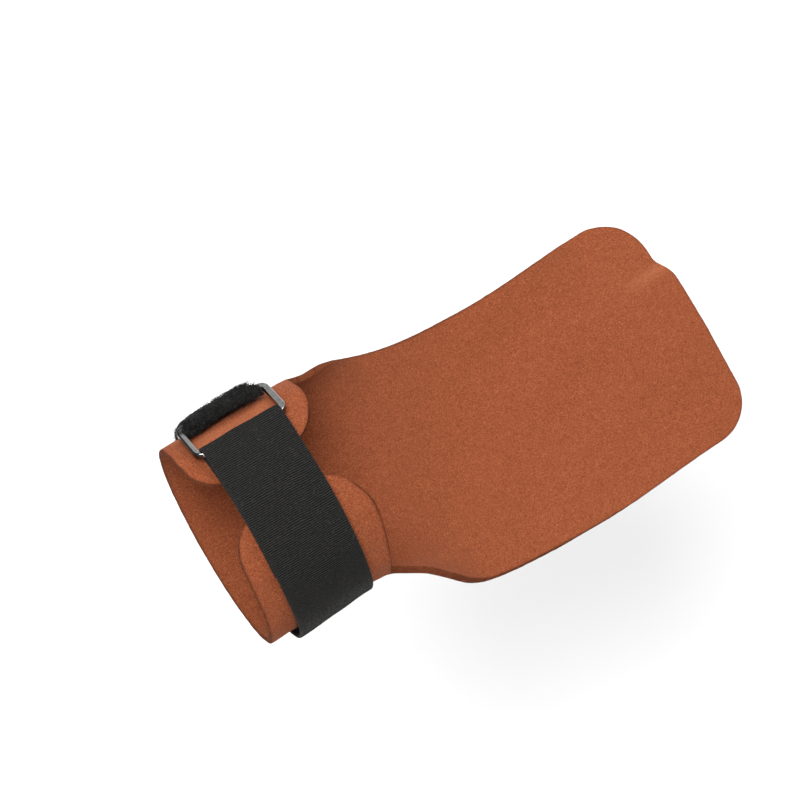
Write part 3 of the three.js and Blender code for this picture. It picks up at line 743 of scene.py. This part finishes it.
# closing strap: its outer side faces away from the course's normal
strap_course = folded_course(STRAP_UNDER, NEAR_BAR, RING_HEIGHT / 2 + 0.4 + STRAP / 2, STRAP_OVER, RIB_PITCH / RIB_STEPS)
STRAP_HALF = 0.44
strap_wave, strap_wander = waves(61, 14), waves(62, 1.1, 1)
strap_top_at = sum(strap_course["fold"]) / 2
TO_NEAR_BAR = np.array([0.0, *(np.array(NEAR_BAR) - np.array(FAR_BAR))]) / math.hypot(NEAR_BAR[0] - FAR_BAR[0], NEAR_BAR[1] - FAR_BAR[1])


def strap_fade(s):
    return smooth((s - (strap_course["length"] - 46)) / 24)


def strap_turn_painted_sheen(s):
    """Where the strap turns away round the radial side: a painted sheen, lighter colour standing in for the light its
    raised fibres catch at the turn.
    """
    out = -course_normal(strap_course, s)
    facing = np.exp(-(((out[:, 2] - 0.36) / 0.20) ** 2)) * (out[:, 1] < 0)
    return facing * smooth((s - strap_course["fold"][1] - 8) / 6)


def strap_rib(s, across):
    wander = 0.10 * waves(63, 11.0)(s, across)
    wave = 0.5 + 0.5 * np.cos(2 * math.pi * (s + wander) / RIB_PITCH)
    # the ribs lie flat where the strap is drawn tight over the near bar
    return wave**0.85 * (1 - 0.72 * np.exp(-(((s - strap_top_at - 0.6) / 1.7) ** 2)))


def strap_shift(s, across, stand):
    rib = strap_rib(s, across)
    depth = 0.15 * (1 - 0.40 * strap_fade(s))
    rise = STRAP_HALF + depth * (rib - 0.15)
    edge = np.clip((np.abs(across) - (STRAP_WIDTH / 2 - 1.3)) / 1.3, 0, 1)
    dh = stand * rise * (1 - 0.10 * edge**2) + 0.05 * strap_wave(s, across)
    da = np.sign(across) * edge**3 * (0.05 * (rib - 0.5) + 0.035 * strap_wander(s))
    # pulled a little askew at the bar
    da = da - 0.35 * np.exp(-(((s - strap_top_at) / 3.0) ** 2)) * smooth((-across - 5) / 7)
    return da, dh, stand


def strap_close(s, across, points):
    """The strap drawn against the near bar, more at its proximal edge."""
    near = np.exp(-(((s - strap_top_at) / 3.2) ** 2)) * (0.30 + 0.45 * smooth((4 - across) / 16))
    return points + TO_NEAR_BAR * near[:, None]


strap = webbing_mesh(
    "closing_strap_ribbed", strap_course, STRAP_WIDTH, flat_section(STRAP_WIDTH - 0.1, STRAP_HALF, 25, 5), -1, strap_shift,
    ribbed, {"rib": lambda s, a, h: strap_rib(s, a), "fade": lambda s, a, h: strap_fade(s), "turn": lambda s, a, h: strap_turn_painted_sheen(s),
             "selvage": lambda s, a, h: smooth((np.abs(a) - (STRAP_WIDTH / 2 - 0.55)) / 0.35)}, strap_close,
)
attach(strap, "root")
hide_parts("closing_strap")

# ring keeper: a thin ground web with its pile on the normal's side, squeezed where the ring's corners hold it
keeper_course = folded_course(KEEPER_INNER, FAR_BAR, RING_HEIGHT / 2 + 0.45 + KEEPER / 2, KEEPER_OUTER, 0.25)
GROUND_HALF = 0.26
ground_wave = waves(71, 6)
fold_from, fold_to = keeper_course["fold"]
fold_top = (fold_from + fold_to) / 2


def round_fold(s, reach):
    return np.exp(-(((s - fold_top) / reach) ** 2))


def outer_part(s):
    return smooth((s - fold_top - 0.5) / 4.5)


def to_side(across, width):
    """0 over the middle, rising to 1 over that width at either edge of the web."""
    return smooth((np.abs(across) - (KEEPER_WIDTH / 2 - width)) / width)


# the web and its pile over its width: how high each stands over the course's middle, at the fold and on the outer layer
WEB_ACROSS = [-12.4, -11.3, -9.6, -7.9, -6.2, -4.5, -2.0, 0.5, 3.0, 5.7, 7.4, 9.1, 10.8, 12.4]
WEB_FOLD = [-0.15, -0.15, -0.18, -0.26, -0.36, -0.44, -0.50, -0.52, -0.52, -0.52, -0.52, -0.50, -0.45, -0.35]
WEB_OUTER = [-0.50, -0.42, -0.28, -0.16, -0.10, -0.08, -0.14, -0.26, -0.40, -0.36, -0.28, -0.32, -0.60, -1.00]
PILE_FOLD = [0.70, 1.10, 1.15, 1.05, 0.86, 0.60, 0.38, 0.26, 0.20, 0.18, 0.20, 0.28, 0.46, 0.70]
PILE_OUTER = [0.30, 0.32, 0.42, 0.48, 0.55, 0.58, 0.60, 0.60, 0.60, 0.60, 0.58, 0.50, 0.30, 0.20]


def keeper_ground(s, across):
    """Height of the web's pile side over the course's middle."""
    outer = outer_part(s)
    rise = through(WEB_ACROSS, WEB_FOLD, across) * (1 - outer) + through(WEB_ACROSS, WEB_OUTER, across) * outer
    return rise - 0.10 * to_side(across, 3.0) * round_fold(s, 3.5) + 0.04 * ground_wave(s, across)


def keeper_draw(s, across):
    """Sideways shift of the web: out over the ring's proximal corner at the fold, in on the way down the outer layer."""
    waist = smooth((s - fold_top - 1.0) / 5.0) * (1 - smooth((s - fold_top - 9) / 12))
    out = np.where(across < 0, 0.60, 0.0) * to_side(across, 5.0) * round_fold(s, 4.0)
    return np.sign(across) * out - across * 0.15 * waist * to_side(across, 10.0)


def corner_drop(across):
    """How far the ring's corner bends away under the web's proximal edge."""
    past = np.maximum(0, -across - (KEEPER_WIDTH / 2 - 1.2))
    return 0.26 * past**1.5


def keeper_at(s, across, height):
    """A point at that height over the course's middle, with the web's draw and the ring's corner taken in."""
    moved = across + keeper_draw(s, across)
    p = on_course(keeper_course, s, moved, height)
    return p + TO_NEAR_BAR * (corner_drop(moved) * round_fold(s, 5.0))[:, None]


def keeper_shift(s, across, stand):
    dh = keeper_ground(s, across) - GROUND_HALF + stand * GROUND_HALF
    return keeper_draw(s, across) + 0.03 * np.sign(across) * np.sin(2 * math.pi * s / 0.9), dh, stand


keeper = webbing_mesh(
    "ring_keeper_web", keeper_course, KEEPER_WIDTH, flat_section(KEEPER_WIDTH - 0.1, GROUND_HALF, 28, 5), 1, keeper_shift,
    pile_base,
    after=lambda s, a, p: p + TO_NEAR_BAR * (corner_drop(a) * round_fold(s, 5.0))[:, None],
    values={"tone": lambda s, a, h: 0.5 + 0.5 * np.sin(2 * math.pi * s / 0.9) * np.sin(2 * math.pi * a / 0.9)},
)
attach(keeper, "root")
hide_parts("ring_keeper")

STITCH_ROWS_KEEPER = (keeper_course["length"] - 2.2, keeper_course["length"] - 6.4)


def pile_height(s, across):
    outer = outer_part(s)
    end = smooth((s - (keeper_course["length"] - 12)) / 8)
    high = through(WEB_ACROSS, PILE_FOLD, across) * (1 - outer) + through(WEB_ACROSS, PILE_OUTER, across) * outer
    return high * (1 - 0.35 * end)


PILE_CLUMP = waves(75, 1.9, 2, 24)


def pile(name, seed, count, strays):
    """Half of the pile: small curled loops rooted in the web, and a few longer loose hairs."""
    r = np.random.default_rng(seed)
    span = (fold_from - 1.8, keeper_course["length"] - 0.25)
    s = r.uniform(*span, count * 2)
    across = r.uniform(-KEEPER_WIDTH / 2 + 0.1, KEEPER_WIDTH / 2 - 0.1, count * 2)
    clear = np.min([np.abs(s - row) for row in STITCH_ROWS_KEEPER], 0) > 0.34
    thinned = (s < fold_to + 9) | (r.uniform(0, 1, count * 2) < 0.55)
    s, across = s[clear & thinned][:count], across[clear & thinned][:count]
    count = len(s)
    n, ground = course_normal(keeper_course, s), keeper_ground(s, across)
    root = keeper_at(s, across, ground - 0.06)
    tangent = np.cross(n, np.array([1.0, 0, 0]))
    turn = r.uniform(0, 2 * math.pi, count)
    along = np.cos(turn)[:, None] * tangent + np.sin(turn)[:, None] * np.array([1.0, 0, 0])
    side = np.cross(n, along)
    # at the edges the loops splay out sideways
    splay = to_side(across, 2.2) * np.sign(across) * r.uniform(0.1, 0.6, count)
    high = r.uniform(0.45, 1.0, count) * pile_height(s, across) * (1 + 0.22 * PILE_CLUMP(s, across))
    wide = r.uniform(0.30, 0.95, count)
    lean = r.normal(0, 0.30, count)
    t = np.linspace(0, 1, 6)
    shape = np.sin(math.pi * t * 0.93) ** 0.8
    paths = (root[:, None, :] + along[:, None, :] * (wide[:, None] * (t + 0.13 * np.sin(2 * math.pi * t)))[..., None]
             + n[:, None, :] * (high[:, None] * shape)[..., None]
             + side[:, None, :] * (lean[:, None] * shape)[..., None])
    paths[..., 0] += (splay * high)[:, None] * shape
    thick = (r.uniform(0.045, 0.080, count)[:, None] * np.array([1, 1, 1.05, 1.05, 1, 0.85]))
    points, faces = tubes(paths, thick, 3, side)
    tone = np.repeat(r.uniform(0, 1, count) ** 2.4, 18)
    # loose hairs, most of them where the outer layer turns away
    s = np.clip(r.normal(fold_to + 2.5, 3.6, strays), *span)
    across = np.clip(r.normal(5.5, 4.2, strays), -KEEPER_WIDTH / 2 + 2.5, KEEPER_WIDTH / 2 - 1.2)
    n = course_normal(keeper_course, s)
    root = keeper_at(s, across, keeper_ground(s, across))
    tangent = np.cross(n, np.array([1.0, 0, 0]))
    turn = r.uniform(0, 2 * math.pi, strays)
    along = np.cos(turn)[:, None] * tangent + np.sin(turn)[:, None] * np.array([1.0, 0, 0])
    side = np.cross(n, along)
    long = r.uniform(0.75, 1.45, strays) * smooth((across + 14) / 16)
    t = np.linspace(0, 1, 6)
    curl = r.uniform(0.4, 1.3, strays)
    hairs = (root[:, None, :] + n[:, None, :] * (long[:, None] * np.sin(t * (0.9 + 0.7 * curl[:, None])))[..., None]
             + along[:, None, :] * ((long * curl)[:, None] * t**1.8)[..., None])
    more, ends = tubes(hairs, np.array([0.056, 0.058, 0.056, 0.052, 0.044, 0.026])[None, :], 3, side)
    faces = faces + [[k + len(points) for k in f] for f in ends]
    tone = np.concatenate([tone, np.repeat(r.uniform(0.0, 0.3, strays), 18)])
    obj = mesh_object(name, np.concatenate([points, more]), faces, [pile_loops], values={"tone": tone})
    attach(obj, "root")
    return obj


pile("ring_keeper_pile_a", 101, LOOPS, STRAYS // 2)
pile("ring_keeper_pile_b", 102, LOOPS, STRAYS // 2)


def ring(material):
    depth = math.hypot(FAR_BAR[0] - NEAR_BAR[0], FAR_BAR[1] - NEAR_BAR[1])
    half_w, half_d, r = RING_WIDTH / 2 - RING_BAR / 2, depth / 2, RING_CORNER - RING_BAR / 2
    path, heading = [], []
    for cx, cy, start in ((half_w - r, -half_d + r, -90), (half_w - r, half_d - r, 0), (-half_w + r, half_d - r, 90),
                          (-half_w + r, -half_d + r, 180)):
        f = np.radians(start + np.linspace(0, 90, 22))
        path.append(np.stack([cx + r * np.cos(f), cy + r * np.sin(f)], -1))
        heading.append(np.stack([np.cos(f), np.sin(f)], -1))
    # points along the straight stretches too, so that small unevenness can follow
    line, out = [], []
    for k in range(4):
        line.append(path[k])
        out.append(heading[k])
        a, b = path[k][-1], path[(k + 1) % 4][0]
        steps = int(np.linalg.norm(b - a) / 0.7)
        w = np.linspace(0, 1, steps + 2)[1:-1, None]
        line.append(a + (b - a) * w)
        out.append(np.repeat(heading[k][-1:], steps, 0))
    line, out = np.concatenate(line), np.concatenate(out)
    # section: a rounded bar, with its four corners worn
    q, round_, w, h = 7, 0.24, RING_BAR / 2, RING_HEIGHT / 2
    sec, worn, top = [], [], []
    for sx, sy, start in ((1, 1, 0), (-1, 1, 90), (-1, -1, 180), (1, -1, 270)):
        f = np.radians(start + np.linspace(0, 90, q))
        sec.append(np.stack([sx * (w - round_) + round_ * np.cos(f), sy * (h - round_) + round_ * np.sin(f)], -1))
        worn.append(np.sin(2 * np.radians(np.linspace(0, 90, q))) ** 2)
        # the upper side of the section, painted lighter as a painted reflection of the overhead light
        top.append(smooth((np.sin(f) - 0.35) / 0.5))
        if (sx, sy) == (1, 1):
            flat = np.linspace(w - round_, round_ - w, 7)[1:-1]
            sec.append(np.stack([flat, np.full(5, h)], -1))
            worn.append(np.zeros(5))
            top.append(np.ones(5))
    sec, worn, top = np.concatenate(sec), np.concatenate(worn), np.concatenate(top)
    n, m = len(line), len(sec)
    swell = 1 + 0.006 * waves(91, 9.0, 1)(np.arange(n) * 0.7)
    local = np.concatenate([
        line[:, None, :] + out[:, None, :] * (sec[None, :, :1] * swell[:, None, None]),
        np.broadcast_to(sec[None, :, 1:], (n, m, 1)) * swell[:, None, None],
    ], -1).reshape(-1, 3)
    # painted shade: the painted top light fades out at the far proximal corner under the web, and is a quarter less
    # over the distal half
    painted_top_light_share = np.repeat(smooth((np.linalg.norm(line - np.array([-half_w, half_d]), axis=1) - 1.9) / 1.6), m)
    painted_top_light_share = painted_top_light_share * np.repeat(1 - 0.25 * smooth(line[:, 0] / 4), m)
    # and a painted dark reflection: near black along the upper outer edge of the proximal bar
    edge = smooth((sec[:, 0] / w - 0.30) / 0.30) * smooth((sec[:, 1] / h + 0.2) / 1.0)
    dark = (edge[None, :] * smooth((-out[:, 0] - 0.45) / 0.35)[:, None]).ravel()
    tilt = math.atan2(FAR_BAR[1] - NEAR_BAR[1], FAR_BAR[0] - NEAR_BAR[0])
    c, s = math.cos(tilt), math.sin(tilt)
    x, y, z = local.T
    points = np.stack([x + RING_X, c * y - s * z + (NEAR_BAR[0] + FAR_BAR[0]) / 2, s * y + c * z + (NEAR_BAR[1] + FAR_BAR[1]) / 2], -1)
    index = np.arange(n * m).reshape(n, m)
    there = np.roll(index, -1, 0)
    quads = np.stack([index, there, np.roll(there, -1, 1), np.roll(index, -1, 1)], -1).reshape(-1, 4)
    obj = mesh_object("ring_gunmetal", points, quads.tolist(), [material], values={
        "wear": np.tile(worn, n) * (1 - dark), "face": np.tile(top, n) * painted_top_light_share * (1 - dark), "dark": dark})
    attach(obj, "root")
    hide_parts("ring")
    return obj


ring(gunmetal)


def stitches(name, rows):
    """Rows of thread; each row is a function from place along it to a point and normal, with its length."""
    paths, refs = [], []
    for length, at in rows:
        count = int(length / 2.7)
        pitch = length / count
        for k in range(count):
            t = np.linspace(-0.5, 0.5, 9)
            run = (k + 0.5) * pitch + t * (pitch - 0.55)
            p, n = at(run)
            arch = 0.20 * (1 - (2 * np.abs(t)) ** 4) - 0.26 * (2 * np.abs(t)) ** 6
            paths.append(p + n * arch[:, None])
            refs.append(n[4])
    paths, refs = np.array(paths), np.array(refs)
    radius = 0.19 * np.array([0.7, 0.95, 1, 1, 1, 1, 1, 0.95, 0.7])
    points, faces = tubes(paths, radius[None, :], 8, refs)
    obj = mesh_object(name, points, faces, [thread])
    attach(obj, "root")
    return obj


def across_row(c, s, reach, height, sign, place=None):
    """A row of stitches across the webbing at arc s, on the side that sign says."""
    def at(run):
        across = run - reach
        arc = np.full(len(run), s)
        n = course_normal(c, arc) * sign
        return (place or (lambda *a: on_course(c, *a)))(arc, across, height(arc, across)), n
    return 2 * reach, at


def leather_row(v, x0, length):
    """A row on the inside of the leather at v round the band."""
    def at(run):
        p, n = leather_frame(x0 + run, np.full(len(run), v))
        return p - n * (LEATHER / 2), -n
    return length, at


strap_top = lambda arc, across: -(STRAP_HALF + 0.09) * np.ones(len(arc))
keeper_top = lambda arc, across: keeper_ground(arc, across) + 0.10
rows = [across_row(keeper_course, s, KEEPER_WIDTH / 2 - 1.4, keeper_top, 1, keeper_at) for s in STITCH_ROWS_KEEPER]
rows += [across_row(strap_course, strap_course["length"] - d, STRAP_WIDTH / 2 - 1.6, strap_top, -1) for d in (2.4, 8.0)]
keeper_v = HALF_ROUND - 60.0
rows += [leather_row(keeper_v - d, RING_X - KEEPER_WIDTH / 2 + 1.4, KEEPER_WIDTH - 2.8) for d in (-1.9, 2.3)]
rows += [leather_row(-(HALF_ROUND - 13.2), RING_X - 11.2, 22.4)]
stitches("stitching", rows)

# ---------------------------------------------------------------- stage, light and camera


def view_axes():
    """The camera's right, up and back, and its place: nearly over the back of the loop, with the long way of the part
    rising to the right."""
    tilt, distance, focal, centre, rise = math.radians(11), 0.600, 2100.0, (276.5, 511.0), math.radians(30)
    d = np.array([-math.sin(tilt), 0, math.cos(tilt)])
    px = unit(np.array([(centre[0] - 400) / focal, -(centre[1] - 400) / focal, -1.0]))
    x = np.array([1.0, 0, 0])
    xp = unit(x - d * (x @ d))
    yp = np.cross(d, xp)
    local = np.stack([math.cos(rise) * xp - math.sin(rise) * yp, math.sin(rise) * xp + math.cos(rise) * yp, d], 1)
    z = -px
    v, c = np.cross((0, 0, 1), z), z[2]
    k = np.array([[0, -v[2], v[1]], [v[2], 0, -v[0]], [-v[1], v[0], 0]])
    turn = np.eye(3) + k + k @ k / (1 + c)
    return local @ turn.T, d * distance, focal


axes, place, focal = view_axes()
camera = bpy.data.objects.new("camera", bpy.data.cameras.new("camera"))
bpy.context.scene.collection.objects.link(camera)
camera.data.sensor_width = 36
camera.data.sensor_fit = "HORIZONTAL"
camera.data.lens = 36 * focal / 800
camera.data.clip_start, camera.data.clip_end = 0.01, 20
matrix = np.eye(4)
matrix[:3, :3], matrix[:3, 3] = axes, place
camera.matrix_world = Matrix(matrix.tolist())
bpy.context.scene.camera = camera

FLOOR_Z = -0.260


def floor():
    s = Surface("pale_floor")
    s.finish(Base_Color=s.mix(s.span(s.noise(6, 2), 0.3, 0.7), (0.76, 0.76, 0.76), (0.78, 0.78, 0.78)), Roughness=0.9,
             Specular_IOR_Level=0.1)
    size = 3.0
    mesh = bpy.data.meshes.new("floor")
    mesh.from_pydata([(-size, -size, FLOOR_Z), (size, -size, FLOOR_Z), (size, size, FLOOR_Z), (-size, size, FLOOR_Z)], [], [[0, 1, 2, 3]])
    mesh.materials.append(s.material)
    obj = bpy.data.objects.new("floor", mesh)
    bpy.context.scene.collection.objects.link(obj)


floor()


def lamp(name, where, target, size, power, colour=(1, 1, 1), size_y=None):
    data = bpy.data.lights.new(name, "AREA")
    data.shape = "RECTANGLE"
    data.size, data.size_y = size, size_y or size
    data.energy, data.color = power, colour
    obj = bpy.data.objects.new(name, data)
    bpy.context.scene.collection.objects.link(obj)
    where, target = np.asarray(where, float), np.asarray(target, float)
    back = unit(where - target)
    side = unit(np.cross((0.3, 1.0, 0.1), back))
    m = np.eye(4)
    m[:3, :3] = np.stack([side, np.cross(back, side), back], 1)
    m[:3, 3] = where
    obj.matrix_world = Matrix(m.tolist())


middle = np.array([0.045, -0.01, 0.0])
right, up, back = axes[:, 0], axes[:, 1], axes[:, 2]
lamp("key", middle + up * 0.34 + back * 1.16 - right * 0.22, middle, 0.60, 17.0)
lamp("side", middle + up * 1.05 + back * 0.55 + right * 0.10, middle, 0.6, 7.5)
lamp("glint", middle - up * 0.53 + right * 0.19 + back * 0.185, middle, 0.08, 1.0, size_y=0.26)

world = bpy.data.worlds.new("studio")
bpy.context.scene.world = world
world.use_nodes = True
tree = world.node_tree
tree.nodes.clear()
w_out, w_back = tree.nodes.new("ShaderNodeOutputWorld"), tree.nodes.new("ShaderNodeBackground")
w_at, w_split, w_ramp = tree.nodes.new("ShaderNodeTexCoord"), tree.nodes.new("ShaderNodeSeparateXYZ"), tree.nodes.new("ShaderNodeMapRange")
w_mix = tree.nodes.new("ShaderNodeMix")
w_mix.data_type = "RGBA"
tree.links.new(w_at.outputs["Generated"], w_split.inputs[0])
tree.links.new(w_split.outputs[2], w_ramp.inputs["Value"])
w_ramp.inputs["From Min"].default_value, w_ramp.inputs["From Max"].default_value = 0.0, 0.75
tree.links.new(w_ramp.outputs[0], w_mix.inputs[0])
w_mix.inputs[6].default_value, w_mix.inputs[7].default_value = (0.44, 0.445, 0.45, 1), (0.66, 0.66, 0.66, 1)
tree.links.new(w_mix.outputs[2], w_back.inputs[0])
w_back.inputs[1].default_value = 1.0
tree.links.new(w_back.outputs[0], w_out.inputs[0])

settings = bpy.context.scene.view_settings
settings.view_transform, settings.look, settings.exposure, settings.gamma = "Standard", "None", 0.0, 1.0
